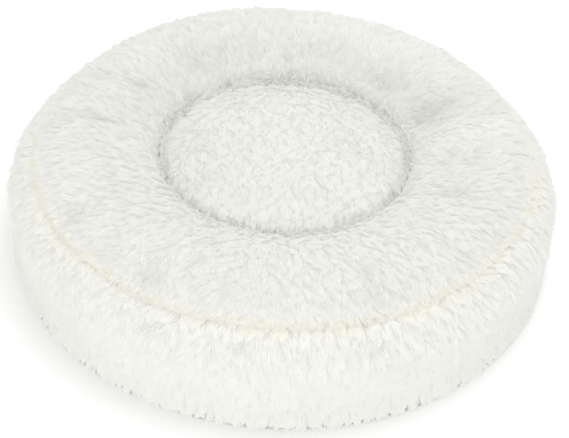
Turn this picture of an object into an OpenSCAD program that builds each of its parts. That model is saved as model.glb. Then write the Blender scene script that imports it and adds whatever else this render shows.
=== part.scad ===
// Round plush pet bed: a fibre-filled ring around a padded sleeping well, in one
// sewn cover that opens with a zip low on the back.
// +Z is up, the origin is the centre of the base on the floor, +Y is the back.

/* [Overall size] */
// Outside diameter, pile included
bed_d = 600; // [480:10:800]
// Height of the ring's crest above the floor
bed_h = 142; // [115:1:190]
// Diameter of the sewn crease round the sleeping well
well_d = 264; // [200:2:330]
// Depth of the crease below the ring's crest
well_depth = 30; // [20:1:45]

/* [Ring shape] */
// How far the rim seam lies inside the widest part of the side
rim_inset = 36; // [20:1:50]
// Height of the ring's crest above the rim seam
crown_h = 26; // [15:1:35]
// How far the ring's crest lies inside the widest part of the side
crest_inset = 78; // [60:1:100]
// Height at which the side is widest
belly_z = 60; // [40:1:75]
// How far the side's lower edge tucks in under the belly
foot_inset = 5; // [3:1:12]
// How sharply the side turns in at its two edges
wall_power = 3; // [2:0.5:4]

/* [Sleeping well] */
// How far the pad's middle rises above the crease
pad_rise = 6; // [0:1:20]
// How far the pad's edge drops below its middle
pad_drop = 12; // [8:1:20]
// How flat the pad is before its edge turns down
pad_power = 6; // [3:0.5:8]
// Width of the crease between the pad and the ring
crease_gap = 4; // [3:0.5:8]
// Thickness of the foam disc under the pad's fibre
foam_h = 50; // [20:1:60]

/* [Cloth] */
// Plush cloth, backing and pile together
plush_t = 12; // [8:0.5:14]
// Woven base cloth with its raised grip dots
base_t = 2.5; // [2:0.1:4]
// Lining between the ring and the pad
lining_t = 1.2; // [0.8:0.1:2]
// Woven case round each filling
liner_t = 1; // [0.6:0.1:1.6]
// Room between a filled case and the cover round it
fill_gap = 2; // [1:0.5:4]
// Gap between two edges that are sewn together
seam_gap = 0.5; // [0.3:0.1:1]
// Radius of a line of seam stitching
thread_r = 0.9; // [0.5:0.1:1.2]
// Room for the stitching between the cloth edges that it joins
thread_gap = 0.2; // [0.1:0.1:0.4]
// Distance of the rim stitching below the tips of the pile
stitch_depth = 7; // [5:0.5:8]

/* [Zip] */
// How far the zip lies inside the widest part of the side
zip_inset = 16; // [14:0.5:20]
// Angle round the back that the teeth cover
zip_angle = 140; // [100:1:160]
// Angle of plain tape beyond each end of the teeth
zip_tail = 6; // [5:0.5:8]
// Width of each tape
tape_w = 10.6; // [9:0.1:14]
// Thickness of the tape
tape_t = 0.6; // [0.4:0.1:1]
// Width of one row of teeth
coil_w = 2.2; // [1.8:0.1:3]
// How far the teeth stand out from the tape
coil_t = 1.8; // [1.4:0.1:2.4]
// Length of the end stops along the tape
stop_len = 3; // [2:0.5:5]

/* [Slider] */
// Length of the slider along the zip
slider_len = 13; // [11:0.5:16]
// Thickness of the slider's two plates
plate_t = 1.2; // [1:0.1:1.6]
// Thickness of the slider's side flanges
flange_t = 1.1; // [0.8:0.1:1.5]
// Gap between the teeth and the side flanges
flange_gap = 1.1; // [0.6:0.1:1.6]
// Thickness of the wedge between the two rows of teeth
wedge_t = 1.6; // [1.2:0.1:2]
// Length of the wedge
wedge_len = 4.5; // [3:0.5:5]
// Running clearance between the slider and the zip
slide_gap = 0.3; // [0.25:0.05:0.5]
// Width of the bridge that holds the pull
bridge_w = 3.2; // [2.5:0.1:4]
// Thickness of the bridge
bridge_t = 1.2; // [1:0.1:1.6]
// Inside length of the bridge
bridge_gap = 6.8; // [5.5:0.1:7.5]
// Length of each of the bridge's two feet
bridge_foot = 1.6; // [1.2:0.1:2]

/* [Pull] */
// Radius of the bar that turns in the bridge
pin_r = 1.1; // [0.8:0.1:1.3]
// Clearance between the bar and the bridge, above and below
pin_gap = 0.5; // [0.3:0.1:0.8]
// Thickness of the pull tab
pull_t = 1.4; // [1:0.1:2]
// Width of the pull tab
pull_w = 8; // [7:0.5:10]
// Length of the pull from its bar to its tip
pull_len = 27; // [22:0.5:32]
// Width of each arm of the pull's eye
arm_w = 1.2; // [0.9:0.1:1.6]
// Clearance between the eye and the bridge
eye_gap = 0.5; // [0.3:0.1:1]
// Radius of the hole at the tip
tip_hole_r = 1.8; // [1:0.1:2.2]

/* [Care label] */
// Width of the label along the seam
label_w = 18; // [12:1:22]
// Height that it hangs below the seam
label_h = 20; // [12:1:22]
// Thickness of the folded label
label_t = 0.6; // [0.4:0.1:0.8]

/* [Hidden] */
$fn = 96;
STEPS = 12;   // straight steps in each curved stretch of an outline
BACK = 90;    // direction of the back, in degrees from +X

// Ring and side outline
outer_r = bed_d / 2;
rim_r = outer_r - rim_inset;
rim_z = bed_h - crown_h;
crest_r = outer_r - crest_inset;
well_r = well_d / 2;
crease_z = bed_h - well_depth;
pad_top = crease_z + pad_rise;
foot_z = base_t + seam_gap;
crown_r = (pow(rim_r - crest_r, 2) + pow(crown_h, 2)) / (2 * crown_h);
crown_c = [crest_r, bed_h - crown_r];
rim_a = atan2(rim_r - crest_r, rim_z - crown_c[1]);
slope_r = (pow(crest_r - well_r, 2) + pow(well_depth, 2)) / (2 * well_depth);
slope_c = [crest_r, bed_h - slope_r];
well_a = atan2(crest_r - well_r, crease_z - slope_c[1]);
base_r = outer_r - foot_inset - seam_gap;

// Pad and lining
pad_r = well_r - crease_gap;
lining_r = well_r - crease_gap / 2;
lining_top = crease_z - crease_gap - 2 * thread_r;

// Zip, measured in the plane through its middle
zip_r = outer_r - zip_inset;
tape_out = zip_r + tape_t;
coil_out = tape_out + coil_t;
coil_edge = wedge_t / 2 + slide_gap;
tape_edge = coil_edge + seam_gap;
zip_z = foot_z + seam_gap + tape_w + tape_edge;
zip_top = zip_z + tape_edge + tape_w;
tape_angle = zip_angle + 2 * zip_tail;
notch_angle = tape_angle + 2 * seam_gap;
notch_top = zip_top + seam_gap;

// Slider and pull, at the closed end of the zip
plate_in = zip_r - slide_gap - plate_t;
plate_out = coil_out + slide_gap + plate_t;
slider_w = 2 * (coil_edge + coil_w + flange_gap + flange_t);
slider_angle = slider_len / zip_r * 180 / PI;
slider_rest = BACK - zip_angle / 2 + slider_angle;
wedge_angle = wedge_len / zip_r * 180 / PI;
pin_x = plate_out + pin_gap + pin_r;
bridge_in = pin_x + pin_r + pin_gap;
eye_w = bridge_w / 2 + eye_gap;
eye_len = bridge_gap / 2 + bridge_foot + 4 * eye_gap;
back_r = plate_in - fill_gap;   // the filled ring stays inside this radius, clear of the slider

// Points along an arc, from angle a to angle b measured from straight up
function arc(c, r, a, b) =
    [for (i = [0 : STEPS]) let (t = a + (b - a) * i / STEPS) c + r * [sin(t), cos(t)]];

// Outer radius of the side at height z
function wall_r(z) = outer_r - (z > belly_z
    ? rim_inset * pow((z - belly_z) / (rim_z - belly_z), wall_power)
    : foot_inset * pow((belly_z - z) / (belly_z - foot_z), wall_power));

// Height of the pad's upper surface at radius r
function pad_z(r) = pad_top - pad_drop * pow(r / pad_r, pad_power);

// Evenly spaced values from a to b
function spread(a, b) = [for (i = [0 : STEPS]) a + (b - a) * i / STEPS];

// Section of whatever fills the ring, gap d inside the cover
module bolster_outline(d) {
    in_r = lining_r + lining_t / 2 + d;
    low_z = base_t + d;
    high_z = rim_z - plush_t * (1 + cos(rim_a)) - d;
    in_a = asin((crest_r - in_r) / (slope_r - plush_t - d));
    polygon(concat(
        [[in_r, low_z]],
        arc(slope_c, slope_r - plush_t - d, -in_a, 0),
        arc(crown_c, crown_r - plush_t - d, 0, rim_a),
        [for (z = spread(high_z, low_z)) [min(wall_r(z) - plush_t, back_r) - d, z]]
    ));
}

// Section of whatever fills the pad, gap d inside its case
module pad_outline(d) {
    side_r = lining_r - lining_t / 2 - d;
    polygon(concat(
        [[0, base_t + d], [side_r, base_t + d]],
        [for (r = spread(side_r, 0)) [r, pad_z(min(r, pad_r)) - plush_t - d]]
    ));
}

// A band of the cover that follows the zip: radius, width in radius, lower edge, height, angle
module zip_arc(r, w, z, h, angle) {
    rotate([0, 0, -angle / 2]) rotate_extrude(angle = angle) translate([r, z]) square([w, h]);
}

module ring_top_panel() {
    color([0.93, 0.92, 0.89]) difference() {
        rotate_extrude() polygon(concat(
            arc(slope_c, slope_r, -well_a, 0),
            arc(crown_c, crown_r, 0, rim_a),
            arc(crown_c, crown_r - plush_t, rim_a, 0),
            arc(slope_c, slope_r - plush_t, 0, -well_a)
        ));
        seam_ring(thread_r + thread_gap);
    }
}

// The rim stitching's path, between the two cloth edges
module seam_ring(r) {
    rotate_extrude()
        translate([rim_r - stitch_depth * sin(rim_a), rim_z - stitch_depth * cos(rim_a) - seam_gap / 2])
            circle(r);
}

// The base stitching's path, all round except where the zip is
module base_ring(r, angle) {
    rotate([0, 0, BACK + 180 - angle / 2]) rotate_extrude(angle = angle)
        translate([base_r - plush_t / 2, base_t + thread_gap + thread_r]) circle(r);
}

module side_band() {
    inner_edge = [rim_r - plush_t * sin(rim_a), rim_z - plush_t * cos(rim_a) - seam_gap];
    color([0.95, 0.94, 0.92]) difference() {
        rotate_extrude() polygon(concat(
            [for (z = spread(foot_z, rim_z)) [wall_r(z), z - (z == rim_z ? seam_gap : 0)]],
            [inner_edge],
            [for (z = spread(inner_edge[1] - plush_t, foot_z)) [wall_r(z) - plush_t, z]]
        ));
        rotate([0, 0, BACK]) zip_arc(outer_r - 3 * plush_t, 4 * plush_t, 0, notch_top, notch_angle);
        seam_ring(thread_r + thread_gap);
        base_ring(thread_r + thread_gap, 360);
    }
}

module centre_panel() {
    color([0.94, 0.93, 0.90]) rotate_extrude() polygon(concat(
        [for (r = spread(0, pad_r)) [r, pad_z(r)]],
        [for (r = spread(pad_r, 0)) [r, pad_z(r) - plush_t]]
    ));
}

module base_panel() {
    color([0.78, 0.76, 0.72]) cylinder(r = base_r, h = base_t);
}

module inner_wall() {
    color([0.88, 0.87, 0.84]) rotate_extrude()
        translate([lining_r - lining_t / 2, base_t]) square([lining_t, lining_top - base_t]);
}

module bolster_liner() {
    color([0.96, 0.96, 0.95]) rotate_extrude() difference() {
        bolster_outline(fill_gap);
        bolster_outline(fill_gap + liner_t);
    }
}

module bolster_filling() {
    color([0.98, 0.98, 0.98]) rotate_extrude() bolster_outline(fill_gap + liner_t + seam_gap);
}

module pad_liner() {
    color([0.96, 0.96, 0.95]) rotate_extrude() difference() {
        pad_outline(fill_gap);
        pad_outline(fill_gap + liner_t);
    }
}

module pad_foam() {
    inset = fill_gap + liner_t + seam_gap;
    color([0.93, 0.90, 0.78]) translate([0, 0, base_t + inset])
        cylinder(r = lining_r - lining_t / 2 - inset, h = foam_h);
}

module pad_filling() {
    inset = fill_gap + liner_t + seam_gap;
    color([0.98, 0.98, 0.98]) rotate_extrude() difference() {
        pad_outline(inset);
        square([outer_r, base_t + inset + foam_h + seam_gap]);
    }
}

module rim_seam_thread() {
    color([0.93, 0.90, 0.80]) seam_ring(thread_r);
}

module well_seam_thread() {
    color([0.93, 0.90, 0.80]) rotate_extrude()
        translate([lining_r, lining_top + thread_gap + thread_r]) circle(thread_r);
}

module base_seam_thread() {
    color([0.93, 0.90, 0.80]) base_ring(thread_r, 360 - notch_angle);
}

module zip_tape_upper() {
    color([0.93, 0.92, 0.88]) rotate([0, 0, BACK])
        zip_arc(zip_r, tape_t, zip_z + tape_edge, tape_w, tape_angle);
}

module zip_tape_lower() {
    color([0.93, 0.92, 0.88]) rotate([0, 0, BACK])
        zip_arc(zip_r, tape_t, zip_z - tape_edge - tape_w, tape_w, tape_angle);
}

module zip_coil_upper() {
    color([0.90, 0.89, 0.85]) rotate([0, 0, BACK])
        zip_arc(tape_out, coil_t, zip_z + coil_edge, coil_w, zip_angle);
}

module zip_coil_lower() {
    color([0.90, 0.89, 0.85]) rotate([0, 0, BACK])
        zip_arc(tape_out, coil_t, zip_z - coil_edge - coil_w, coil_w, zip_angle);
}

module zip_end_stops() {
    stop_angle = stop_len / zip_r * 180 / PI;
    stop_w = 2 * (coil_edge + coil_w);
    for (side = [-1, 1])
        color([0.80, 0.80, 0.80]) rotate([0, 0, BACK + side * (zip_angle + stop_angle + seam_gap) / 2])
            zip_arc(tape_out, coil_t, zip_z - stop_w / 2, stop_w, stop_angle);
}

module zip_slider() {
    color([0.75, 0.75, 0.76]) rotate([0, 0, slider_rest]) translate([0, 0, zip_z]) {
        zip_arc(plate_in, plate_t, -slider_w / 2, slider_w, slider_angle);
        zip_arc(coil_out + slide_gap, plate_t, -slider_w / 2, slider_w, slider_angle);
        for (z = [-slider_w / 2, slider_w / 2 - flange_t])
            zip_arc(tape_out + slide_gap, plate_out - tape_out - slide_gap, z, flange_t, slider_angle);
        rotate([0, 0, (wedge_angle - slider_angle) / 2])
            zip_arc(plate_in, plate_out - plate_in, -wedge_t / 2, wedge_t, wedge_angle);
        difference() {
            translate([plate_out - plate_t / 2, -bridge_gap / 2 - bridge_foot, -bridge_w / 2])
                cube([bridge_in + bridge_t - plate_out + plate_t / 2, bridge_gap + 2 * bridge_foot, bridge_w]);
            translate([plate_out - plate_t, -bridge_gap / 2, -bridge_w])
                cube([bridge_in - plate_out + plate_t, bridge_gap, 2 * bridge_w]);
        }
    }
}

module zip_pull() {
    color([0.75, 0.75, 0.76]) rotate([0, 0, slider_rest]) translate([pin_x, 0, zip_z]) {
        cylinder(r = pin_r, h = 2 * (eye_w + arm_w), center = true);
        for (side = [-1, 1])
            translate([-pull_t / 2, 0, side * (eye_w + arm_w / 2) - arm_w / 2]) cube([pull_t, eye_len + arm_w, arm_w]);
        rotate([0, 90, 0]) difference() {
            translate([0, 0, -pull_t / 2]) linear_extrude(pull_t) {
                translate([-pull_w / 2, eye_len]) square([pull_w, pull_len - pull_w / 2 - eye_len]);
                translate([0, pull_len - pull_w / 2]) circle(pull_w / 2);
            }
            translate([0, pull_len - pull_w / 2, 0]) cylinder(r = tip_hole_r, h = 2 * pull_t, center = true);
        }
    }
}

module care_label() {
    tail_middle = BACK + zip_angle / 2 + zip_tail / 2;
    color([0.97, 0.97, 0.97]) rotate([0, 0, tail_middle])
        zip_arc(tape_out + thread_gap, label_t, zip_top - label_h, label_h, label_w / zip_r * 180 / PI);
}

ring_top_panel();
side_band();
centre_panel();
base_panel();
inner_wall();
bolster_liner();
bolster_filling();
pad_liner();
pad_foam();
pad_filling();
rim_seam_thread();
well_seam_thread();
base_seam_thread();
zip_tape_upper();
zip_tape_lower();
zip_coil_upper();
zip_coil_lower();
zip_end_stops();
zip_slider();
zip_pull();
care_label();
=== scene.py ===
import math

import bmesh
import bpy
import numpy as np
from mathutils import Matrix, Quaternion, Vector, noise
from mathutils.kdtree import KDTree


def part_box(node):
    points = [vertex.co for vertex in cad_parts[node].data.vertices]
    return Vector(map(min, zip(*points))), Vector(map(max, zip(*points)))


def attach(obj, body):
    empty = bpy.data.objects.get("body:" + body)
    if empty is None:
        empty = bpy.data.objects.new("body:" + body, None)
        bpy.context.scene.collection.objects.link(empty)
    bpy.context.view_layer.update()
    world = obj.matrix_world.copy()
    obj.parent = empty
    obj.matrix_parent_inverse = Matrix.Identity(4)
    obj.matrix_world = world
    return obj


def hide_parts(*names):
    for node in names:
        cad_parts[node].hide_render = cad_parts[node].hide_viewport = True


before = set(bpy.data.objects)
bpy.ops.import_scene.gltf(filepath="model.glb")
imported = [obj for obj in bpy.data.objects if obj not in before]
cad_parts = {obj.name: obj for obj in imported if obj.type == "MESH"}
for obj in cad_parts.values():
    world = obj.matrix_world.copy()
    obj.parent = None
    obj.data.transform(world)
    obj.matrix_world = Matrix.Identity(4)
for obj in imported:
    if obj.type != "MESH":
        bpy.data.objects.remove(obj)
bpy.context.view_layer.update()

# ---------------------------------------------------------------- camera
# A long lens looks down on the bed from the front, with a slight roll to the right.
camera_data = bpy.data.cameras.new("view")
camera_data.sensor_width = 36.0
camera_data.lens = 81.6
camera = bpy.data.objects.new("view", camera_data)
heading = Vector((0.0024, 0.7489, -0.6627))
roll = Quaternion(heading, math.radians(-3.0))
camera.rotation_mode = "QUATERNION"
camera.rotation_quaternion = roll @ heading.to_track_quat("-Z", "Y")
camera.location = (0.0, -1.0905, 0.9750)
bpy.context.scene.collection.objects.link(camera)
bpy.context.scene.camera = camera

# ---------------------------------------------------------------- studio
# A white sweep under an even white sky, with one broad soft light above the right shoulder.
scene = bpy.context.scene
scene.view_settings.view_transform = "Standard"
world = bpy.data.worlds.new("white_room")
world.use_nodes = True
world.node_tree.nodes["Background"].inputs["Color"].default_value = (1.0, 1.0, 1.0, 1.0)
world.node_tree.nodes["Background"].inputs["Strength"].default_value = 0.98
scene.world = world


def linked(name, data):
    """A new object in the scene that holds the data."""
    holder = bpy.data.objects.new(name, data)
    scene.collection.objects.link(holder)
    return holder


def from_form(name, form):
    """A new piece from a bmesh, which is freed."""
    mesh = bpy.data.meshes.new(name)
    form.to_mesh(mesh)
    form.free()
    return linked(name, mesh)


def soft_light(name, place, size, power):
    """An area light that looks at the middle of the bed."""
    lamp = bpy.data.lights.new(name, "AREA")
    lamp.shape = "DISK"
    lamp.size = size
    lamp.energy = power
    holder = linked(name, lamp)
    holder.location = place
    holder.rotation_euler = (Vector((0, 0, 0.1)) - Vector(place)).to_track_quat("-Z", "Y").to_euler()


soft_light("key_light", (0.5, 0.3, 2.3), 1.2, 9.0)
soft_light("front_light", (-0.5, -2.6, 0.6), 1.8, 11.0)

sweep = bmesh.new()
bmesh.ops.create_grid(sweep, x_segments=8, y_segments=8, size=12.0)
floor = from_form("floor", sweep)
paper = bpy.data.materials.new("white_paper")
paper.use_nodes = True
paper_finish = paper.node_tree.nodes["Principled BSDF"]
paper_finish.inputs["Base Color"].default_value = (0.98, 0.98, 0.98, 1.0)
paper_finish.inputs["Roughness"].default_value = 0.9
floor.data.materials.append(paper)

# ---------------------------------------------------------------- plush cover cloth
# The cover's knitted backing, drawn tight over the fillings and pinned along its seams.
# The ring's top and side are swelled as one sheet, then parted along the rim seam.
SEAM_DEPTH = 0.0040           # the backing lies this far under the tips of the pile at the seams,
TOP_DEPTH = 0.0085            # this far on the ring's top,
SIDE_DEPTH = 0.0115           # this far on its side
PAD_DEPTH = 0.0060            # and this far on the pad
SECTORS = 240                 # steps round the bed
outer_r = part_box("side_band")[1].x
foot_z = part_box("side_band")[0].z
crest_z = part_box("ring_top_panel")[1].z
rim = (0.264, 0.116)          # radius and height of the rim seam
crest_r = 0.222
crease = (0.132, 0.112)       # radius and height where ring and pad meet
belly_z = 0.060
WALL_POWER = 3                # how sharply the side turns in towards its edges
FOOT_INSET = 0.005
PAD_POWER = 6                 # how flat the pad is before its edge turns down
PAD_DROP = 0.012
PLUSH_THICKNESS = 0.0025      # of the knitted backing alone
SWELL_PRESSURE = 4.0
notch_top = 0.0284
NOTCH_HALF = math.radians(76.5)
BACK = math.pi / 2


def arc_to_crest(edge, steps):
    """Points of the backing from an edge of the ring's top up to its crest."""
    run, drop = edge[0] - crest_r, crest_z - edge[1]
    radius = (run * run + drop * drop) / (2 * drop)
    edge_angle = math.atan2(run, radius - drop)
    angles = [edge_angle * (1 - k / steps) for k in range(steps + 1)]
    arc = []
    for k, a in enumerate(angles):
        reach = radius - SEAM_DEPTH - (TOP_DEPTH - SEAM_DEPTH) * min(1.0, 2.2 * k / steps)
        arc.append((crest_r + reach * math.sin(a), crest_z - radius + reach * math.cos(a)))
    return arc


def wall_point(z):
    """Point of the backing on the ring's side at height z."""
    if z > belly_z:
        inset = (outer_r - rim[0]) * ((z - belly_z) / (rim[1] - belly_z)) ** WALL_POWER
    else:
        inset = FOOT_INSET * ((belly_z - z) / (belly_z - foot_z)) ** WALL_POWER
    away = min(1.0, (z - foot_z) / 0.025, (rim[1] - z) / 0.022)
    return (outer_r - inset - SEAM_DEPTH - (SIDE_DEPTH - SEAM_DEPTH) * max(0.0, away), z)


def spun(name, outline, closed=False, start=0.0, sweep=2 * math.pi, steps=SECTORS):
    """A piece turned round the bed's axis from (radius, height) points, numbered in the layer 'row'."""
    form = bmesh.new()
    row = form.verts.layers.float.new("row")
    points = [form.verts.new((r, 0.0, z)) for r, z in outline]
    for number, point in enumerate(points):
        point[row] = number
    edges = [form.edges.new(pair) for pair in zip(points, points[1:])]
    if closed:
        edges.append(form.edges.new((points[-1], points[0])))
    bmesh.ops.spin(form, geom=points + edges, cent=(0, 0, 0), axis=(0, 0, 1), angle=sweep,
                   steps=steps, use_merge=sweep > 6)
    bmesh.ops.rotate(form, verts=form.verts, cent=(0, 0, 0), matrix=Matrix.Rotation(start, 3, "Z"))
    bmesh.ops.remove_doubles(form, verts=form.verts, dist=1e-6)
    bmesh.ops.recalc_face_normals(form, faces=form.faces)
    highest = max(form.faces, key=lambda face: face.calc_center_median().z)
    if highest.normal.z < -0.5:
        bmesh.ops.reverse_faces(form, faces=form.faces)
    return from_form(name, form)


def positions(mesh):
    """The mesh's points as an array."""
    flat = np.empty(len(mesh.vertices) * 3, np.float32)
    mesh.vertices.foreach_get("co", flat)
    return flat.reshape(-1, 3).astype(float)


def place(mesh, points):
    """Moves the mesh's points to an array of places."""
    mesh.vertices.foreach_set("co", points.astype(np.float32).ravel())
    mesh.update()


def swell(piece, pinned_rows, pressure, cap):
    """Blows the cloth out with Blender's Cloth between its pinned rows, by no more than cap."""
    before = positions(piece.data)
    rows = np.empty(len(before), np.float32)
    piece.data.attributes["row"].data.foreach_get("value", rows)
    pins = piece.vertex_groups.new(name="seams")
    held = [int(i) for i in np.flatnonzero(np.isin(np.rint(rows), pinned_rows))]
    pins.add(held, 1.0, "REPLACE")
    cloth = piece.modifiers.new("swell", "CLOTH")
    cloth.settings.use_pressure = True
    cloth.settings.uniform_pressure_force = pressure
    cloth.settings.vertex_group_mass = "seams"
    cloth.settings.effector_weights.gravity = 0.0
    cloth.settings.quality = 5
    cloth.settings.shrink_min = -0.015
    for number in range(1, 21):
        scene.frame_set(number)
    settled = piece.evaluated_get(bpy.context.evaluated_depsgraph_get())
    after = positions(settled.data)
    piece.modifiers.remove(cloth)
    piece.vertex_groups.clear()
    scene.frame_set(1)
    move = after - before
    far = np.linalg.norm(move, axis=1, keepdims=True)
    place(piece.data, before + move * np.minimum(1.0, cap / np.maximum(far, 1e-9)))


side_rows = [0.0032, 0.0095, 0.0185, notch_top] + [0.0284 + 0.0070 * k for k in range(1, 12)]
side_outline = [wall_point(z) for z in side_rows]
top_outer = arc_to_crest(rim, 7)
top_inner = arc_to_crest(crease, 14)[::-1]
rim_seam = (top_outer[0][0] - 0.0005, top_outer[0][1] - 0.0035)
well_seam = (crease[0], crease[1] - 0.0105)
ring_outline = side_outline + [rim_seam] + top_outer + top_inner[1:] + [
    (crease[0] + 0.0022, crease[1] - 0.0085), well_seam]
RIM_ROW = len(side_outline)
WELL_ROW = len(ring_outline) - 1
ring_cover = spun("ring_cover", ring_outline)
swell(ring_cover, [0, RIM_ROW, WELL_ROW], SWELL_PRESSURE, 0.003)

pad_top = 0.118
pad_edge_r = 0.128
pad_steps = 16
pad_outline = []
for k in range(pad_steps + 1):
    r = pad_edge_r * k / pad_steps
    pad_outline.append((r * 0.985, pad_top - PAD_DROP * (r / pad_edge_r) ** PAD_POWER - PAD_DEPTH))
pad_outline += [(0.1290, 0.0995), (0.1308, well_seam[1] - 0.0006)]
pad_cover = spun("pad_cover", pad_outline)
swell(pad_cover, [len(pad_outline) - 1], SWELL_PRESSURE, 0.004)


def mound(points, degrees, radius, across, along, turn=0.0):
    """1 at a spot and 0 away from it; across is its half width round the bed, along its half length out."""
    spot = np.array([radius * math.cos(math.radians(degrees)), radius * math.sin(math.radians(degrees))])
    outwards = math.radians(degrees + turn)
    out = np.array([math.cos(outwards), math.sin(outwards)])
    offset = points[:, :2] - spot
    u = offset @ out
    v = offset @ np.array([-out[1], out[0]])
    return np.exp(-(u / along) ** 2 - (v / across) ** 2)


def lumps(points, scale, seed):
    """Smooth random heights from -1 to 1 over the bed, one for each point."""
    shift = Vector((seed * 7.3, seed * 3.1, seed * 5.7))
    return np.array([noise.noise(Vector(p) * scale + shift) for p in points])


# Each fold, hollow or dent: degrees round the bed, radius, height, half width round the bed, half
# length outwards, and how far its length is turned.
RING_FOLDS = (
    (6, 0.185, 0.0112, 0.011, 0.056, 6),         # fold at the right
    (24, 0.166, -0.0166, 0.017, 0.044, 4),       # hollow behind the fold
    (48, 0.156, -0.0110, 0.020, 0.026, 0),
    (-25, 0.182, -0.0130, 0.013, 0.015, 0),      # dimple in front of it
    (-9, 0.175, -0.0080, 0.010, 0.034, -3),
    (-120, 0.240, -0.0100, 0.012, 0.022, 8),     # dents round the rim
    (-68, 0.232, -0.0075, 0.010, 0.022, 0),
    (-146, 0.232, -0.0095, 0.011, 0.024, 0),
    (176, 0.205, -0.0090, 0.012, 0.036, 0),
    (155, 0.192, -0.0090, 0.010, 0.036, 10),
    (128, 0.178, -0.0080, 0.016, 0.026, 0),
    (75, 0.165, -0.0065, 0.030, 0.020, 0),
    (-45, 0.222, -0.0065, 0.010, 0.026, 0))
PAD_FOLDS = (
    (80, 0.100, 0.0030, 0.050, 0.012, 0),        # rolled back edge
    (-170, 0.085, 0.0030, 0.040, 0.022, 0),
    (-10, 0.080, 0.0030, 0.040, 0.024, 0),
    (35, 0.085, -0.0040, 0.030, 0.018, 0),       # soft dent at the right
    (-95, 0.090, -0.0030, 0.050, 0.018, 0))


def folded(points, lift, folds):
    """The lift with each fold's height added."""
    for degrees, radius, height, across, along, turn in folds:
        lift = lift + height * mound(points, degrees, radius, across, along, turn)
    return lift


def shape_top(points):
    """How far the filling pushes each point of the ring's top up, in metres."""
    r = np.hypot(points[:, 0], points[:, 1])
    on_ring = np.clip((r - 0.135) / 0.02, 0, 1) * np.clip((0.268 - r) / 0.012, 0, 1)
    lift = 0.0030 * lumps(points, 14.0, 1) + 0.0018 * lumps(points, 34.0, 2)
    return folded(points, lift, RING_FOLDS) * on_ring


def shape_pad(points):
    """How far the filling pushes each point of the pad up."""
    lift = 0.0022 * lumps(points, 16.0, 5) + 0.0012 * lumps(points, 38.0, 6)
    r = np.hypot(points[:, 0], points[:, 1])
    return folded(points, lift, PAD_FOLDS) * np.clip((0.131 - r) / 0.012, 0, 1)


points = positions(ring_cover.data)
points[:, 2] += np.where(points[:, 2] > rim[1] - 0.012, shape_top(points), 0.0)
radial = np.hypot(points[:, 0], points[:, 1])
side_share = np.clip((points[:, 2] - 0.010) / 0.02, 0, 1)
side_share *= np.clip((rim[1] + 0.004 - points[:, 2]) / 0.012, 0, 1)
side_share *= radial > crest_r
bulge = side_share * (0.0022 * lumps(points, 12.0, 3) + 0.0012 * lumps(points, 30.0, 4))
points[:, :2] *= ((radial + bulge) / radial)[:, None]
rim_share = np.exp(-((points[:, 2] - rim[1] + 0.006) / 0.014) ** 2) * (radial > crest_r + 0.02)
points[:, 2] += rim_share * 0.0035 * lumps(points, 9.0, 9)
place(ring_cover.data, points)
points = positions(pad_cover.data)
points[:, 2] += shape_pad(points)
place(pad_cover.data, points)


def seam_line(cover, number):
    """The points of one row of a cover, in order round the bed."""
    rows = np.empty(len(cover.data.vertices), np.float32)
    cover.data.attributes["row"].data.foreach_get("value", rows)
    line = positions(cover.data)[np.rint(rows) == number]
    return line[np.argsort(np.arctan2(line[:, 1], line[:, 0]))]


rim_line = seam_line(ring_cover, RIM_ROW)
well_line = seam_line(ring_cover, WELL_ROW)


def part_off(source, name, keep_face):
    """A copy of some of a cover's faces as a piece of its own."""
    form = bmesh.new()
    form.from_mesh(source.data)
    row = form.verts.layers.float["row"]
    gone = [face for face in form.faces if not keep_face(face, row)]
    bmesh.ops.delete(form, geom=gone, context="FACES")
    return from_form(name, form)


def over_zip(face):
    """Is this face of the side where the zip's opening is?"""
    middle = face.calc_center_median()
    turn = abs(math.atan2(middle.y, middle.x) - BACK)
    return turn < NOTCH_HALF and middle.z < notch_top



def on_top(face, row):
    """Is this face of the ring's cover above the rim seam?"""
    return min(point[row] for point in face.verts) > RIM_ROW - 0.5


def on_side(face, row):
    """Is it below the rim seam and clear of the zip's opening?"""
    return max(point[row] for point in face.verts) < RIM_ROW + 0.5 and not over_zip(face)


ring_top_cloth = part_off(ring_cover, "ring_top_cloth", on_top)
side_band_cloth = part_off(ring_cover, "side_band_cloth", on_side)
centre_pad_cloth = part_off(pad_cover, "centre_pad_cloth", lambda face, row: True)
bpy.data.objects.remove(ring_cover)
bpy.data.objects.remove(pad_cover)


def new_material(name):
    """A new material, its nodes, its links and its shader."""
    material = bpy.data.materials.new(name)
    material.use_nodes = True
    nodes = material.node_tree.nodes
    return material, nodes, material.node_tree.links, nodes["Principled BSDF"]


def ramp(nodes, stops):
    """A colour ramp with (position, colour) stops."""
    node = nodes.new("ShaderNodeValToRGB")
    while len(node.color_ramp.elements) < len(stops):
        node.color_ramp.elements.new(0.5)
    for element, (position, colour) in zip(node.color_ramp.elements, stops):
        element.position = position
        element.color = (*colour, 1.0)
    return node


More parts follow.
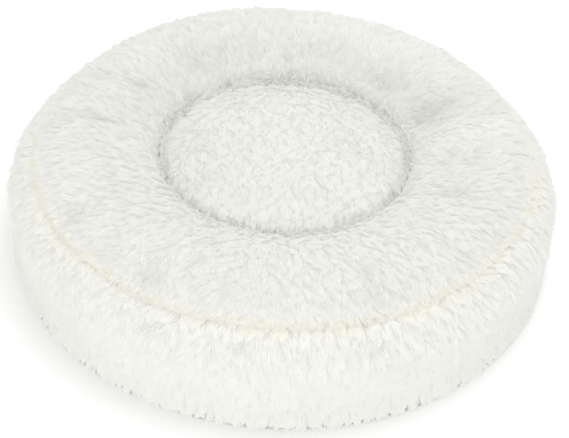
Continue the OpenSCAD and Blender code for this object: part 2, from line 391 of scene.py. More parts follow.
def textured(name, kind, scale, colours, roughness, bump=None, **settings):
    """A material coloured by one fine Noise or Voronoi pattern; bump is its strength and depth."""
    material, nodes, links, shader = new_material(name)
    coords = nodes.new("ShaderNodeTexCoord")
    pattern = nodes.new("ShaderNodeTex" + kind)
    pattern.inputs["Scale"].default_value = scale
    for setting, value in settings.items():
        pattern.inputs[setting].default_value = value
    height = pattern.outputs["Fac" if kind == "Noise" else "Distance"]
    colour = ramp(nodes, colours)
    links.new(coords.outputs["Object"], pattern.inputs["Vector"])
    links.new(height, colour.inputs["Fac"])
    links.new(colour.outputs["Color"], shader.inputs["Base Color"])
    shader.inputs["Roughness"].default_value = roughness
    if bump:
        raised = nodes.new("ShaderNodeBump")
        raised.inputs["Strength"].default_value = bump[0]
        raised.inputs["Distance"].default_value = bump[1]
        links.new(height, raised.inputs["Height"])
        links.new(raised.outputs["Normal"], shader.inputs["Normal"])
    return material


def smooth(piece, material, angle=35):
    """Smooth shading up to an angle, and the piece's material."""
    piece.data.polygons.foreach_set("use_smooth", [True] * len(piece.data.polygons))
    piece.data.set_sharp_from_angle(angle=math.radians(angle))
    piece.data.materials.append(material)


# Painted shade: the backing is coloured darker than the pile. This is partly the knit's own cream and partly
# shade that falls between the strands.
backing = textured("knit_backing", "Voronoi", 700.0, [(0.0, (0.70, 0.685, 0.63)), (1.0, (0.77, 0.76, 0.71))],
                   0.95, bump=(0.4, 0.0004))

for piece, node in ((ring_top_cloth, "ring_top_panel"), (side_band_cloth, "side_band"),
                    (centre_pad_cloth, "centre_panel")):
    smooth(piece, backing, 32)
    thickness = piece.modifiers.new("cloth", "SOLIDIFY")
    thickness.thickness = PLUSH_THICKNESS
    thickness.offset = -1.0
    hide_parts(node)
    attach(piece, "bed")

# ---------------------------------------------------------------- long pile
# Shaggy polyester pile, knitted into the backing in locks: each lock's strands lean the way the
# cloth was brushed and close to a point. It lies outwards on the ring and downwards on the side.
TINTS = 16
STRAND_RINGS = (0.0, 0.55)            # where along a strand its three-sided rings are
RING_WIDTH = (0.70, 1.0)              # and how wide it is there, against its widest
STRAND_WIDTH = 0.0012
GATHER = 0.42                         # how far a strand's tip is drawn to its lock's
LOCK_SIZE = 12                        # strands in a lock, on average
random = np.random.default_rng(20)


def unit(vectors):
    return vectors / np.maximum(np.linalg.norm(vectors, axis=1, keepdims=True), 1e-9)


def scatter(mesh, wanted):
    """Roots spread evenly over a mesh, with its normal at each."""
    mesh.calc_loop_triangles()
    corners = np.empty(len(mesh.loop_triangles) * 3, np.int32)
    mesh.loop_triangles.foreach_get("vertices", corners)
    corners = corners.reshape(-1, 3)
    co = positions(mesh)
    a, b, c = (co[corners[:, k]] for k in range(3))
    cross = np.cross(b - a, c - a)
    area = np.linalg.norm(cross, axis=1)
    share = (np.arange(wanted) + random.random(wanted)) / wanted
    pick = np.searchsorted(np.cumsum(area) / area.sum(), share)
    pick = np.minimum(pick, len(area) - 1)
    s, t = random.random(wanted), random.random(wanted)
    fold = s + t > 1
    s[fold], t[fold] = 1 - s[fold], 1 - t[fold]
    root = a[pick] + s[:, None] * (b - a)[pick] + t[:, None] * (c - a)[pick]
    return root, unit(cross)[pick]


def strands(root, normal, flow, length, width, lean, gather, lock_every):
    """Bends a strand from each root: along flow, leaning by lean, its tip drawn towards its lock's."""
    count = len(root)
    leaders = np.arange(0, count, lock_every)
    order = random.permutation(count)[:len(leaders)]
    tree = KDTree(len(order))
    for number, leader in enumerate(order):
        tree.insert(root[leader], number)
    tree.balance()
    lock = np.array([tree.find(p)[1] for p in root])
    flow = unit(flow - normal * (flow * normal).sum(1)[:, None])
    side = np.cross(normal, flow)
    swerve = random.normal(0, 0.30, len(order))[lock] + random.normal(0, 0.10, count)
    flow = unit(flow * np.cos(swerve)[:, None] + side * np.sin(swerve)[:, None])
    side = np.cross(normal, flow)
    length = length * random.uniform(0.82, 1.18, len(order))[lock] * random.uniform(0.85, 1.1, count)
    rise = lean * random.uniform(0.75, 1.3, len(order))[lock] * random.uniform(0.8, 1.15, count)
    rise = np.clip(rise, 0.12, 1.2)
    curl = random.normal(0, 0.16, len(order))[lock][:, None] * side * length[:, None]
    tip = root + flow * (length * np.cos(rise))[:, None] + normal * (length * np.sin(rise))[:, None] + curl
    leader_tip = tip[order][lock]
    tip = tip + (leader_tip - tip) * (gather * random.uniform(0.7, 1.1, count))[:, None]
    middle = root + (tip - root) * 0.5 + normal * (length * 0.17)[:, None] - curl * 0.3
    width = width * random.uniform(0.75, 1.25, count)
    for part in (middle, tip):
        part[:, 2] = np.maximum(part[:, 2], 0.0012)
    return root - normal * 0.001, middle, tip, normal, width, lock


SOFTNESS = 0.88      # how far a strand's shading follows the cloth under it and not its own roundness


def array_mesh(name, co, faces):
    """A mesh of many copies of a form: co is each copy's points, faces the form's own corner numbers."""
    count, per = co.shape[:2]
    loops = np.array(sum(faces, []))
    starts = np.concatenate([[0], np.cumsum([len(face) for face in faces])[:-1]])
    corners = np.arange(count)[:, None] * per + loops
    first = np.arange(count)[:, None] * len(loops) + starts
    mesh = bpy.data.meshes.new(name)
    mesh.vertices.add(count * per)
    mesh.vertices.foreach_set("co", co.astype(np.float32).ravel())
    mesh.loops.add(count * len(loops))
    mesh.loops.foreach_set("vertex_index", corners.astype(np.int32).ravel())
    mesh.polygons.add(count * len(faces))
    mesh.polygons.foreach_set("loop_start", first.astype(np.int32).ravel())
    mesh.update(calc_edges=True)
    return mesh


def strand_mesh(name, root, middle, tip, normal, width, lock, shade, tint_seed, flatten=0.5, upward=0.8):
    """A mesh of bent, tapered three-sided strands, whose UV map holds their tint (own tone, painted shade
    and painted light) and the way along them.
    """
    count = len(root)
    soft = unit(normal * (flatten, flatten, 0.0) + [0, 0, 1.0] * np.maximum(normal[:, 2:], upward))
    sides = 3
    tip_corner = len(STRAND_RINGS) * sides
    per = tip_corner + 1 + 5              # the underside has corners of its own, facing down
    co = np.empty((count, per, 3))
    facing = np.empty((count, per, 3))
    for ring, (t, share) in enumerate(zip(STRAND_RINGS, RING_WIDTH)):
        centre = root * (1 - t) ** 2 + middle * 2 * t * (1 - t) + tip * t ** 2
        along = unit((middle - root) * 2 * (1 - t) + (tip - middle) * 2 * t)
        across = unit(np.cross(along, soft))
        up = np.cross(across, along)
        half = (width * share / 2)[:, None]
        co[:, ring * sides + 0] = centre + across * half
        co[:, ring * sides + 1] = centre + up * half * 0.75
        co[:, ring * sides + 2] = centre - across * half
        for k, own in enumerate((across, up, -across)):
            facing[:, ring * sides + k] = unit(own * (1 - SOFTNESS) + soft * SOFTNESS)
    co[:, tip_corner] = tip
    facing[:, tip_corner] = soft
    co[:, tip_corner + 1:] = co[:, [0, 2, 3, 5, tip_corner]]
    facing[:, tip_corner + 1:] = unit(soft * 0.35 - up)[:, None, :]
    own_corner = {0: tip_corner + 1, 2: tip_corner + 2, 3: tip_corner + 3, 5: tip_corner + 4,
                  tip_corner: tip_corner + 5}
    faces, where = [[0, 1, 2]], [[0.0, 0.0, 0.0]]
    for ring in range(len(STRAND_RINGS) - 1):
        low, high = STRAND_RINGS[ring], STRAND_RINGS[ring + 1]
        for k in range(sides):
            a, b = ring * sides + k, ring * sides + (k + 1) % sides
            faces.append([b, a, a + sides, b + sides])
            where.append([low, low, high, high])
    last = (len(STRAND_RINGS) - 1) * sides
    for k in range(sides):
        faces.append([last + (k + 1) % sides, last + k, tip_corner])
        where.append([STRAND_RINGS[-1], STRAND_RINGS[-1], 1.0])
    for number in (3, 6):
        faces[number] = [own_corner[corner] for corner in faces[number]]
    mesh = array_mesh(name, co, faces)
    lots = np.random.default_rng(tint_seed)
    tint = shade + lots.normal(0, 0.05, lock.max() + 1)[lock] + lots.normal(0, 0.035, count)
    tint = np.clip((tint * TINTS).astype(int), 0, TINTS - 1)
    heights = np.array(sum(where, []))
    pairs = np.empty((count, len(heights), 2), np.float32)
    pairs[:, :, 0] = ((tint + 0.5) / TINTS)[:, None]
    pairs[:, :, 1] = heights[None, :]
    mesh.uv_layers.new(name="OFBake").data.foreach_set("uv", pairs.ravel())
    mesh.polygons.foreach_set("use_smooth", np.ones(count * len(faces), bool))
    mesh.update()
    mesh.normals_split_custom_set_from_vertices(facing.reshape(-1, 3))
    return linked(name, mesh)


pile, nodes, links, shader = new_material("long_pile")
way = nodes.new("ShaderNodeUVMap")
way.uv_map = "OFBake"
split = nodes.new("ShaderNodeSeparateXYZ")
# Along each strand, from root to tip: the roots are creamier and darker. This is partly their own cream and
# partly painted shade down among the strands.
along_colour = ramp(nodes, [(0.0, (0.81, 0.80, 0.74)), (0.35, (0.87, 0.865, 0.83)),
                            (1.0, (0.90, 0.90, 0.875))])
# Tint levels: the plain pile sits near 0.63. Lower levels are painted shade and levels a little higher are
# painted light. The top of the ramp is the cream of the seams, and random tone spreads the levels.
tint_colour = ramp(nodes, [(0.0, (0.68, 0.70, 0.65)), (0.66, (0.955, 0.96, 0.945)),
                           (0.84, (0.995, 0.995, 0.985)), (1.0, (1.0, 0.975, 0.87))])
blend_colour = nodes.new("ShaderNodeMix")
blend_colour.data_type = "RGBA"
blend_colour.blend_type = "MULTIPLY"
blend_colour.inputs["Factor"].default_value = 1.0
links.new(way.outputs["UV"], split.inputs["Vector"])
links.new(split.outputs["Y"], along_colour.inputs["Fac"])
links.new(split.outputs["X"], tint_colour.inputs["Fac"])
links.new(along_colour.outputs["Color"], blend_colour.inputs[6])
links.new(tint_colour.outputs["Color"], blend_colour.inputs[7])
links.new(blend_colour.outputs[2], shader.inputs["Base Color"])
shader.inputs["Roughness"].default_value = 0.75
shader.inputs["Sheen Weight"].default_value = 0.25
shader.inputs["Sheen Roughness"].default_value = 0.5


def outwards(points):
    return unit(np.column_stack([points[:, 0], points[:, 1], np.zeros(len(points))]))


def round_share(points, parts, part):
    """Which points are in one of several equal slices of the bed."""
    turn = (np.arctan2(points[:, 1], points[:, 0]) / (2 * math.pi)) % 1.0
    return (turn * parts).astype(int) == part


def finish_pile(piece):
    piece.data.materials.append(pile)
    piece.visible_diffuse = False
    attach(piece, "bed")


# The ring's pile
RING_STRANDS = 62500
root, normal = scatter(ring_top_cloth.data, RING_STRANDS)
r = np.hypot(root[:, 0], root[:, 1])
from_rim = np.clip((0.262 - r) / 0.014, 0, 1)
from_crease = np.clip((r - 0.131) / 0.016, 0, 1)
length = 0.0155 * (0.5 + 0.5 * from_rim) * (0.78 + 0.22 * from_crease)
lean = np.radians(9 + 9 * (1 - from_rim) + 22 * (1 - from_crease))
lean = np.where((normal[:, 2] < 0.6) & (r < 0.16), 1.0, lean)
flow = outwards(root)
flow += 0.45 * np.column_stack([lumps(root, 13.0, 11), lumps(root, 13.0, 12), 0 * r])
ring = strands(root, normal, flow, length, STRAND_WIDTH, lean, GATHER, LOCK_SIZE)
# Painted shade and light in the ring's tint: the inner slope at the back is darkened, hollows are darkened
# and raised folds lightened, and a narrow band of painted shade lies along the crease. The lumps are random
# tone.
inner_slope_shade = np.clip((0.200 - r) / 0.04, 0, 1)
hollow = np.clip(shape_top(root), -0.012, 0.004)
shade = 0.63 - 0.19 * inner_slope_shade * np.clip(root[:, 1] / 0.06, 0, 1) + 22.0 * hollow
shade += 0.07 * lumps(root, 9.0, 17) - 0.10 * np.exp(-((r - 0.132) / 0.004) ** 2)
SEAM_CREAM_R = 0.2545         # the pile turns cream from here out to the rim seam
cream = 0.72 + 0.27 * np.clip((r - SEAM_CREAM_R) / 0.004, 0, 1)
shade = np.where(r > SEAM_CREAM_R, np.maximum(shade, cream), shade)
PARTS = 5                     # the ring's and the side's pile are cut into this many slices
for part in range(PARTS):
    chosen = round_share(root, PARTS, part)
    finish_pile(strand_mesh(f"ring_pile_{part}", *[values[chosen] for values in ring], shade[chosen],
                            40 + part))

# The side's pile
SIDE_STRANDS = 68000
root, normal = scatter(side_band_cloth.data, SIDE_STRANDS)
from_rim = np.clip((rim[1] - 0.004 - root[:, 2]) / 0.012, 0, 1)
from_foot = np.clip((root[:, 2] - 0.004) / 0.014, 0, 1)
length = 0.016 * (0.6 + 0.4 * from_rim) * (0.75 + 0.25 * from_foot)
root_turn = np.arctan2(root[:, 1], root[:, 0])
by_zip = (np.abs(root_turn - BACK) < NOTCH_HALF + 0.03) & (root[:, 2] < notch_top + 0.016)
length = np.where(by_zip, np.minimum(length, 0.0085 + 0.5 * np.maximum(root[:, 2] - notch_top, 0)), length)
lean = np.radians(9 + 6 * (1 - from_foot))
flow = np.column_stack([0.40 * lumps(root, 12.0, 13), 0.40 * lumps(root, 12.0, 14), -np.ones(len(root))])
side = strands(root, normal, flow, length, STRAND_WIDTH, lean, GATHER, LOCK_SIZE)
# Painted light: the side's pile sits a step lighter than the ring's and the pad's, for the light on the
# wall. The lumps are random tone.
shade = 0.69 + 0.07 * lumps(root, 9.0, 18)
shade = np.maximum(shade, 0.70 + 0.28 * np.clip((root[:, 2] - rim[1] + 0.014) / 0.007, 0, 1))
# Painted shade: four dark spots on the front of the side, below the rim seam, where the pile parts.
for degrees, height, reach in ((-97, 0.099, 0.006), (-114, 0.097, 0.008), (-71, 0.096, 0.007),
                               (-60, 0.098, 0.006)):
    along = (root_turn - math.radians(degrees)) * outer_r
    shade -= 0.42 * np.exp(-(along / reach) ** 2 - ((root[:, 2] - height) / 0.0032) ** 2)
for part in range(PARTS):
    chosen = round_share(root, PARTS, part)
    finish_pile(strand_mesh(f"side_pile_{part}", *[values[chosen] for values in side], shade[chosen],
                            50 + part, flatten=0.9, upward=0.25))

# The parted pile along the rim seam, where the stitches catch it and its cream roots show, and the
# short pile that fills the crease, whose darker tone is painted shade in the crease.
for name, line, count, out_share, hair, tone, seed in (
        ("rim_seam_pile", rim_line, 7600, 0.75, 0.0080, 0.97, 61),
        ("crease_pile", well_line, 5200, -0.05, 0.0130, 0.52, 62)):
    turn = random.uniform(0, 2 * math.pi, count)
    line_turn = np.arctan2(line[:, 1], line[:, 0]) % (2 * math.pi)
    seam_r = np.interp(turn, line_turn, np.hypot(line[:, 0], line[:, 1]), period=2 * math.pi)
    seam_z = np.interp(turn, line_turn, line[:, 2], period=2 * math.pi)
    seam_r += random.uniform(-0.0015, 0.0015, count)
    seam_z += random.uniform(-0.0015, 0.0015, count)
    root = np.column_stack([seam_r * np.cos(turn), seam_r * np.sin(turn), seam_z])
    out = outwards(root)
    normal = unit(out * out_share + [0, 0, 0.65])
    round_way = np.column_stack([-out[:, 1], out[:, 0], 0 * turn])
    flow = out * random.normal(0.2, 0.5, count)[:, None] + round_way * random.normal(0, 0.7, count)[:, None]
    flow[:, 2] -= random.uniform(-0.5, 0.9, count)
    seam = strands(root, normal, flow, np.full(count, hair), 0.0011, np.full(count, 0.62), 0.40, 9)
    finish_pile(strand_mesh(name, *seam, np.full(count, tone), seed, upward=0.7))

# The pad's pile
PAD_STRANDS = 17500
root, normal = scatter(centre_pad_cloth.data, PAD_STRANDS)
keep = root[:, 2] > 0.096
root, normal = root[keep], normal[keep]
r = np.hypot(root[:, 0], root[:, 1])
at_edge = np.clip((r - 0.112) / 0.012, 0, 1)
length = 0.0150 * (1.0 - 0.22 * at_edge)
lean = np.where(normal[:, 2] < 0.6, 0.9, np.radians(12 + 10 * at_edge))
flow = np.column_stack([0.45 * lumps(root, 9.0, 15), -0.8 + 0.4 * lumps(root, 9.0, 16), 0 * r])
flow = flow * (1 - at_edge)[:, None] + outwards(root) * at_edge[:, None]
pad = strands(root, normal, flow, length, STRAND_WIDTH, lean, 0.34, LOCK_SIZE)
# Painted shade: the pad's pile darkens towards its edge at the crease. The lumps are random tone.
shade = 0.63 + 0.07 * lumps(root, 12.0, 19) - 0.12 * np.clip((r - 0.123) / 0.006, 0, 1)
finish_pile(strand_mesh("pad_pile", *pad, shade, 60))

# ---------------------------------------------------------------- seam stitches
# Cream polyester thread, lockstitched by machine: one row joins ring and side at the rim,
# one joins ring, pad and lining in the crease, and one joins side and base.
thread = textured("sewing_thread", "Noise", 2600.0, [(0.3, (0.82, 0.80, 0.71)), (0.7, (0.90, 0.885, 0.82))],
                  0.55, bump=(0.35, 0.0002))


def repeated(name, form, frames):
    """One mesh of a small bmesh form repeated at many 4x4 places."""
    spots = np.array([[*corner.co, 1.0] for corner in form.verts])
    matrices = np.array([[list(line) for line in frame_place] for frame_place in frames])
    placed = np.einsum("nij,kj->nki", matrices, spots)[:, :, :3]
    form.verts.index_update()
    faces = [[corner.index for corner in face.verts] for face in form.faces]
    form.free()
    return linked(name, array_mesh(name, placed, faces))


STITCH_PITCH = 0.0044


def stitch_row(name, line, closed, node):
    """Stitches along a line, each a slim rounded bead of thread."""
    ends = np.vstack([line, line[:1]]) if closed else line
    run = np.concatenate([[0], np.cumsum(np.linalg.norm(np.diff(ends, axis=0), axis=1))])
    count = int(run[-1] / STITCH_PITCH)
    places = []
    for k in range(count):
        at = (k + 0.5) * run[-1] / count
        middle, ahead = ([np.interp(x, run, ends[:, c]) for c in range(3)] for x in (at, at + 0.0004))
        turn = (Vector(ahead) - Vector(middle)).to_track_quat("Z", "Y").to_matrix().to_4x4()
        places.append(Matrix.Translation(middle) @ turn)
    bead = bmesh.new()
    bmesh.ops.create_uvsphere(bead, u_segments=7, v_segments=7, radius=1.0,
                              matrix=Matrix.Diagonal((0.00055, 0.00055, 0.0020, 1.0)))
    piece = repeated(name, bead, places)
    piece.data.polygons.foreach_set("use_smooth", [True] * len(piece.data.polygons))
    piece.data.materials.append(thread)
    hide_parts(node)
    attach(piece, "bed")


stitch_row("rim_stitches", rim_line * (1.004, 1.004, 1.0), True, "rim_seam_thread")
stitch_row("well_stitches", well_line + [0, 0, 0.0004], True, "well_seam_thread")
base_turns = np.linspace(BACK + NOTCH_HALF, BACK - NOTCH_HALF + 2 * math.pi, 160)
BASE_SEAM = (0.2885, 0.0036)  # radius and height
base_line = np.column_stack([BASE_SEAM[0] * np.cos(base_turns), BASE_SEAM[0] * np.sin(base_turns),
                             BASE_SEAM[1] + 0 * base_turns])
stitch_row("base_stitches", base_line, False, "base_seam_thread")

# ---------------------------------------------------------------- base cloth
# A disc of oxford cloth closes the bottom; its edge is caught in the base seam. Small PVC dots are
# printed on it in a grid, so that the bed doesn't slide.


def lay_weave(mesh, flat=False):
    """A UV map 'weave' in metres: the plan of a flat piece, or round and up on an upright one."""
    layer = mesh.uv_layers.new(name="weave").data
    for face in mesh.polygons:
        spots = [mesh.vertices[mesh.loops[k].vertex_index].co for k in face.loop_indices]
        turns = [math.atan2(p.y, p.x) for p in spots]
        if max(turns) - min(turns) > math.pi:
            turns = [turn % (2 * math.pi) for turn in turns]
        for k, p, turn in zip(face.loop_indices, spots, turns):
            layer[k].uv = (p.x, p.y) if flat else (turn * 0.25, p.z)


def woven(name, low, high, pitch, roughness):
    """Plain-woven cloth whose threads are pitch apart."""
    material, nodes, links, shader = new_material(name)
    way = nodes.new("ShaderNodeUVMap")
    way.uv_map = "weave"
    scale = nodes.new("ShaderNodeVectorMath")
    scale.operation = "SCALE"
    scale.inputs["Scale"].default_value = math.pi / pitch
    split = nodes.new("ShaderNodeSeparateXYZ")
    links.new(way.outputs["UV"], scale.inputs[0])
    links.new(scale.outputs["Vector"], split.inputs["Vector"])
    crossing = nodes.new("ShaderNodeMath")
    crossing.operation = "MULTIPLY_ADD"
    for number, axis in enumerate("XY"):
        wave = nodes.new("ShaderNodeMath")
        wave.operation = "SINE"
        links.new(split.outputs[axis], wave.inputs[0])
        links.new(wave.outputs[0], crossing.inputs[number])
    crossing.inputs[2].default_value = 0.5
    tone = ramp(nodes, [(0.0, low), (1.0, high)])
    bump = nodes.new("ShaderNodeBump")
    bump.inputs["Strength"].default_value = 0.5
    bump.inputs["Distance"].default_value = pitch * 0.3
    links.new(crossing.outputs[0], tone.inputs["Fac"])
    links.new(crossing.outputs[0], bump.inputs["Height"])
    links.new(tone.outputs["Color"], shader.inputs["Base Color"])
    links.new(bump.outputs["Normal"], shader.inputs["Normal"])
    shader.inputs["Roughness"].default_value = roughness
    return material


base_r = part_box("base_panel")[1].x
dot_h = 0.0008
base_cloth = spun("base_cloth", [(base_r * k / 30, dot_h + 0.0002) for k in range(31)], steps=180)
lay_weave(base_cloth.data, flat=True)
smooth(base_cloth, woven("oxford_cloth", (0.50, 0.48, 0.44), (0.63, 0.61, 0.56), 0.0009, 0.8))
bottom = base_cloth.modifiers.new("cloth", "SOLIDIFY")
bottom.thickness = 0.0012
bottom.offset = 1.0
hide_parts("base_panel")
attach(base_cloth, "bed")

pvc = textured("grip_pvc", "Noise", 900.0, [(0.3, (0.60, 0.60, 0.58)), (0.7, (0.68, 0.68, 0.66))],
               0.45, bump=(0.2, 0.0001))
DOT_PITCH = 0.014
DOT_R = 0.0020
dot = bmesh.new()
bmesh.ops.create_cone(dot, cap_ends=True, segments=10, radius1=DOT_R * 0.7, radius2=DOT_R,
                      depth=dot_h + 0.0003)
spots = []
for row in range(-23, 24):
    for column in range(-21, 22):
        x, y = (column + 0.5 * (row % 2)) * DOT_PITCH, row * DOT_PITCH * 0.866
        if math.hypot(x, y) < base_r - 0.012:
            spots.append(Matrix.Translation((x, y, (dot_h + 0.0003) / 2)))
grip_dots = repeated("grip_dots", dot, spots)
smooth(grip_dots, pvc)
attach(grip_dots, "bed")

# ---------------------------------------------------------------- lining between ring and pad
# A band of lining cloth stands upright between the ring and the pad. It is sewn to the base and
# into the crease, and keeps the ring's filling from spreading inwards.
lining_r = 0.130
lining_rows = [0.0026 + 0.0044 * k for k in range(22)] + [well_seam[1] - 0.0024]
lining = spun("ring_lining", [(lining_r - 0.0006, z) for z in lining_rows], steps=180)
points = positions(lining.data)
slack = np.sin((points[:, 2] - 0.0026) / (well_seam[1] - 0.005) * math.pi)
points[:, :2] *= (1 + 0.007 * slack * lumps(points, 30.0, 21))[:, None]
place(lining.data, points)
lay_weave(lining.data)
smooth(lining, woven("lining_cloth", (0.72, 0.71, 0.68), (0.84, 0.83, 0.80), 0.0006, 0.75))
lining_wall = lining.modifiers.new("cloth", "SOLIDIFY")
lining_wall.thickness = 0.0010
lining_wall.offset = 1.0
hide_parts("inner_wall")
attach(lining, "bed")

# ---------------------------------------------------------------- inner cases
# The ring and the pad each have a case of thin bonded cloth, creased where the filling pulls it,
# so that the fillings come out through the zip in one piece.
bonded = textured("bonded_cloth", "Voronoi", 520.0, [(0.0, (0.82, 0.82, 0.80)), (0.45, (0.92, 0.92, 0.91))],
                  0.9, bump=(0.4, 0.0003))


def ring_section(inset):
    """The ring's filling in section, inset inside the cover's backing."""
    inner_r, low, high = lining_r + 0.0016 + inset, 0.0030 + inset, rim[1] - 0.027 - inset
    top = []
    for k in range(19):
        r = inner_r + (0.247 - inset - inner_r) * k / 18
        if r < crest_r:
            slope = crest_z - (crest_z - crease[1]) * ((crest_r - r) / (crest_r - crease[0])) ** 2
        else:
            slope = crest_z - (crest_z - rim[1]) * ((r - crest_r) / (rim[0] - crest_r)) ** 2
        top.append((r, slope - 0.0185 - inset))
    wall = [(0.268 - inset, high), (0.276 - inset, high - 0.014), (0.2795 - inset, high - 0.032),
            (0.2795 - inset, 0.040), (0.2795 - inset, 0.022), (0.2770 - inset, low + 0.003),
            (0.272 - inset, low)]
    floor_line = [(inner_r + (0.272 - inset - inner_r) * k / 12, low) for k in range(11, 0, -1)]
    inner_wall = [(inner_r, low + 0.02 * k) for k in range(5)]
    return inner_wall + top[1:] + wall + floor_line + [(inner_r + 0.001, low)]


def pad_section(inset):
    """The pad's filling in section, from the middle of its top to the middle of its bottom."""
    edge_r = lining_r - 0.0022 - inset
    top = [(edge_r * k / 14, pad_top - 0.016 - inset - PAD_DROP * (k / 14) ** PAD_POWER) for k in range(15)]
    low = 0.0045 + inset
    side = [(edge_r, top[-1][1] + (low - top[-1][1]) * k / 8) for k in range(1, 9)]
    return top + side + [(edge_r * k / 8, low) for k in range(7, -1, -1)]


def stuffed(name, outline, closed, pull, scale, seed):
    """A filled form: pull is how far its surface rises and falls, scale how small its lumps are."""
    piece = spun(name, outline, closed)
    points = positions(piece.data)
    radial = np.hypot(points[:, 0], points[:, 1])
    raised = np.clip((points[:, 2] - 0.075) / 0.02, 0, 1)
    points[:, 2] += raised * np.where(radial > lining_r, shape_top(points), shape_pad(points))
    inward = pull * (1 + lumps(points, scale, seed)) / 2
    normals = np.empty(len(points) * 3, np.float32)
    piece.data.vertices.foreach_get("normal", normals)
    points -= normals.reshape(-1, 3) * inward[:, None]
    place(piece.data, points)
    return piece


for name, outline, closed, node, seed in (
        ("ring_case", ring_section(0.0), True, "bolster_liner", 31),
        ("pad_case", pad_section(0.0), False, "pad_liner", 32)):
    case = stuffed(name, outline, closed, 0.0016, 55.0, seed)
    smooth(case, bonded)
    skin = case.modifiers.new("cloth", "SOLIDIFY")
    skin.thickness = 0.0006
    skin.offset = -1.0
    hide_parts(node)
    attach(case, "bed")

# ---------------------------------------------------------------- polyester filling
# White hollow-fibre wadding: a thick lumpy ring in the ring's case, and a layer over the pad's foam.
wadding = textured("fibre_wadding", "Noise", 260.0, [(0.25, (0.80, 0.80, 0.79)), (0.7, (0.95, 0.95, 0.95))],
                   1.0, bump=(0.6, 0.0012), Detail=8.0, Distortion=2.5)

foam_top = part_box("pad_foam")[1].z
foam_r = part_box("pad_foam")[1].x
layer_top = pad_section(0.0030)[:15]
layer_edge, layer_foot = layer_top[-1][1], foam_top + 0.0005
layer_side = [(foam_r - 0.001, layer_edge + (layer_foot - layer_edge) * k / 5) for k in range(1, 6)]
layer_low = [(foam_r * k / 8, layer_foot) for k in range(7, -1, -1)]
for name, outline, closed, node, seed in (
        ("ring_wadding", ring_section(0.0028), True, "bolster_filling", 33),
        ("pad_wadding", layer_top + layer_side + layer_low, False, "pad_filling", 34)):
    filling = stuffed(name, outline, closed, 0.0030 if closed else 0.0016, 45.0, seed)
    smooth(filling, wadding)
    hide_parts(node)
    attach(filling, "bed")

# ---------------------------------------------------------------- foam disc
# A firm disc of cream polyurethane foam lies at the bottom of the pad. Its cut edges are slightly eased.
foam = textured("open_cell_foam", "Voronoi", 800.0, [(0.1, (0.66, 0.58, 0.38)), (0.5, (0.84, 0.77, 0.58))],
                0.95, bump=(0.7, 0.0005))
foam_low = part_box("pad_foam")[0].z
ease = 0.0025
foam_disc = spun("foam_disc", [(0.0, foam_top), (foam_r * 0.5, foam_top), (foam_r - ease, foam_top),
                               (foam_r - ease * 0.3, foam_top - ease * 0.3), (foam_r, foam_top - ease),
                               (foam_r - 0.0006, (foam_top + foam_low) / 2), (foam_r, foam_low + ease),
                               (foam_r - ease * 0.3, foam_low + ease * 0.3), (foam_r - ease, foam_low),
                               (foam_r * 0.5, foam_low), (0.0, foam_low)], steps=120)
smooth(foam_disc, foam)
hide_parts("pad_foam")
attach(foam_disc, "bed")

# ---------------------------------------------------------------- zip tapes
# Two strips of woven tape, sewn to the side band and to the base low round the back. Each has a
# thicker bead along the edge that holds its coil, and a row of sewing.
zip_r = 0.284
zip_z = (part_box("zip_tape_upper")[0].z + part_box("zip_tape_lower")[1].z) / 2
tape_half = math.radians(77.2)
tape_cloth = woven("zip_tape_weave", (0.74, 0.73, 0.68), (0.88, 0.87, 0.83), 0.0007, 0.7)
for name, node, side in (("upper_tape", "zip_tape_upper", 1), ("lower_tape", "zip_tape_lower", -1)):
    low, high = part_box(node)[0].z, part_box(node)[1].z
    edge, far = (low, high) if side > 0 else (high, low)
    rows = [(zip_r, edge), (zip_r + 0.0002, edge + side * 0.0009), (zip_r, edge + side * 0.0018)]
    rows += [(zip_r, edge + (far - edge) * share) for share in (0.45, 0.75)]
    rows += [(zip_r + 0.0002, far - side * 0.0012), (zip_r, far - side * 0.0006), (zip_r, far)]
    tape = spun(name, rows, start=BACK - tape_half, sweep=2 * tape_half, steps=150)
    lay_weave(tape.data)
    smooth(tape, tape_cloth)
    band = tape.modifiers.new("cloth", "SOLIDIFY")
    band.thickness = 0.0004
    band.offset = 0.0
    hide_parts(node)
    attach(tape, "bed")

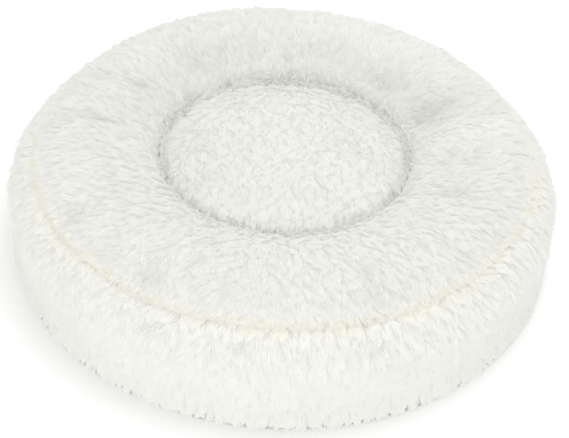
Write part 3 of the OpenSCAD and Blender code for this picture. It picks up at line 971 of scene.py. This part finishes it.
# ---------------------------------------------------------------- zip coils
# Each tape carries a spiral of clear-white nylon filament, whose loops are the zip's teeth.
filament = textured("nylon_filament", "Noise", 400.0, [(0.3, (0.76, 0.75, 0.70)), (0.7, (0.86, 0.85, 0.81))],
                    0.35)
FILAMENT_R = 0.00028
COIL_PITCH = 0.0016
COIL_GAP = 0.00085      # from the zip's middle line, so that the slider's wedge runs between the loops
LOOP_POINTS = 8
for name, node in (("upper_coil", "zip_coil_upper"), ("lower_coil", "zip_coil_lower")):
    low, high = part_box(node)[0].z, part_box(node)[1].z
    if low > zip_z:
        low = zip_z + COIL_GAP
    else:
        high = zip_z - COIL_GAP
    middle_z, half_z = (low + high) / 2, (high - low) / 2 - FILAMENT_R
    middle_r, half_r = zip_r + 0.0006 + 0.0009, 0.0009 - FILAMENT_R
    coil_half = math.radians(70)
    turns = int(2 * coil_half * middle_r / COIL_PITCH)
    curve = bpy.data.curves.new(name, "CURVE")
    curve.dimensions = "3D"
    curve.bevel_depth = FILAMENT_R
    curve.bevel_resolution = 0
    spline = curve.splines.new("POLY")
    spline.points.add(turns * LOOP_POINTS)
    for k, point in enumerate(spline.points):
        along = BACK - coil_half + 2 * coil_half * k / (turns * LOOP_POINTS)
        loop = 2 * math.pi * k / LOOP_POINTS
        r = middle_r + half_r * math.cos(loop)
        point.co = (r * math.cos(along), r * math.sin(along), middle_z + half_z * math.sin(loop), 1.0)
    curve.use_fill_caps = True
    drawn = linked(name + "_line", curve)
    bpy.context.view_layer.update()
    settled = drawn.evaluated_get(bpy.context.evaluated_depsgraph_get())
    coil_mesh = bpy.data.meshes.new_from_object(settled)
    coil_mesh.name = name
    bpy.data.objects.remove(drawn)
    coil = linked(name, coil_mesh)
    coil_mesh.materials.clear()
    smooth(coil, filament, 60)
    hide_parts(node)
    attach(coil, "bed")

# ---------------------------------------------------------------- zip slider, pull and end stops
# Die-cast and pressed zinc with a brushed nickel finish. The slider runs on the coils, its pull turns
# on a pin in the slider's bridge, and a stop closes each end of the coils.
metal, nodes, links, shader = new_material("brushed_nickel")
coords = nodes.new("ShaderNodeTexCoord")
stretch = nodes.new("ShaderNodeMapping")
stretch.inputs["Scale"].default_value = (1.0, 1.0, 14.0)
brushing = nodes.new("ShaderNodeTexNoise")
brushing.inputs["Scale"].default_value = 300.0
brushing.inputs["Detail"].default_value = 6.0
metal_colour = ramp(nodes, [(0.3, (0.52, 0.52, 0.51)), (0.7, (0.66, 0.66, 0.65))])
metal_rough = nodes.new("ShaderNodeMapRange")
metal_rough.inputs["To Min"].default_value = 0.24
metal_rough.inputs["To Max"].default_value = 0.46
metal_bump = nodes.new("ShaderNodeBump")
metal_bump.inputs["Strength"].default_value = 0.12
metal_bump.inputs["Distance"].default_value = 0.0001
links.new(coords.outputs["Object"], stretch.inputs["Vector"])
links.new(stretch.outputs["Vector"], brushing.inputs["Vector"])
links.new(brushing.outputs["Fac"], metal_colour.inputs["Fac"])
links.new(brushing.outputs["Fac"], metal_rough.inputs["Value"])
links.new(brushing.outputs["Fac"], metal_bump.inputs["Height"])
links.new(metal_colour.outputs["Color"], shader.inputs["Base Color"])
links.new(metal_rough.outputs["Result"], shader.inputs["Roughness"])
links.new(metal_bump.outputs["Normal"], shader.inputs["Normal"])
shader.inputs["Metallic"].default_value = 1.0
for node, name, body, ease_width in (("zip_slider", "slider_body", "slider", 0.00022),
                                     ("zip_pull", "pull_tab", "pull", 0.00028),
                                     ("zip_end_stops", "end_stops", "bed", 0.00035)):
    form = bmesh.new()
    form.from_mesh(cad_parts[node].data)
    bmesh.ops.remove_doubles(form, verts=form.verts, dist=1e-6)
    bmesh.ops.dissolve_limit(form, angle_limit=math.radians(1), verts=form.verts, edges=form.edges)
    sharp = [edge for edge in form.edges if edge.is_manifold and edge.calc_face_angle() > math.radians(40)]
    bmesh.ops.bevel(form, geom=sharp, offset=ease_width, segments=2, profile=0.5, affect="EDGES",
                    clamp_overlap=True, material=-1)
    bmesh.ops.recalc_face_normals(form, faces=form.faces)
    fitting = from_form(name, form)
    smooth(fitting, metal, 30)
    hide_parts(node)
    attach(fitting, body)

# ---------------------------------------------------------------- care label
# A blank strip of white satin, folded in half and caught in the seam beside the zip's end.
satin = textured("label_satin", "Noise", 1500.0, [(0.3, (0.86, 0.86, 0.85)), (0.7, (0.94, 0.94, 0.93))],
                 0.35, bump=(0.15, 0.0001))
label_low, label_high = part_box("care_label")[0].z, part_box("care_label")[1].z
label_r = 0.28485
label_turn = math.radians(163)
label_half = 0.009 / zip_r          # half its width, as an angle
label_drop = label_high - label_low - 0.0004
down = [(label_r + 0.0003 * (k / 6) ** 2, label_high - label_drop * k / 6) for k in range(7)]
fold = [(label_r + 0.00042, label_low + 0.0001), (label_r + 0.00054, label_low + 0.0004)]
up = [(r + 0.00030 + 0.0004 * math.sin(k / 6 * math.pi), z) for k, (r, z) in enumerate(down[::-1])][1:]
label = spun("satin_label", down + fold + up, start=label_turn - label_half, sweep=2 * label_half, steps=10)
smooth(label, satin, 60)
strip = label.modifiers.new("cloth", "SOLIDIFY")
strip.thickness = 0.00018
strip.offset = 0.0
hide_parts("care_label")
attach(label, "bed")
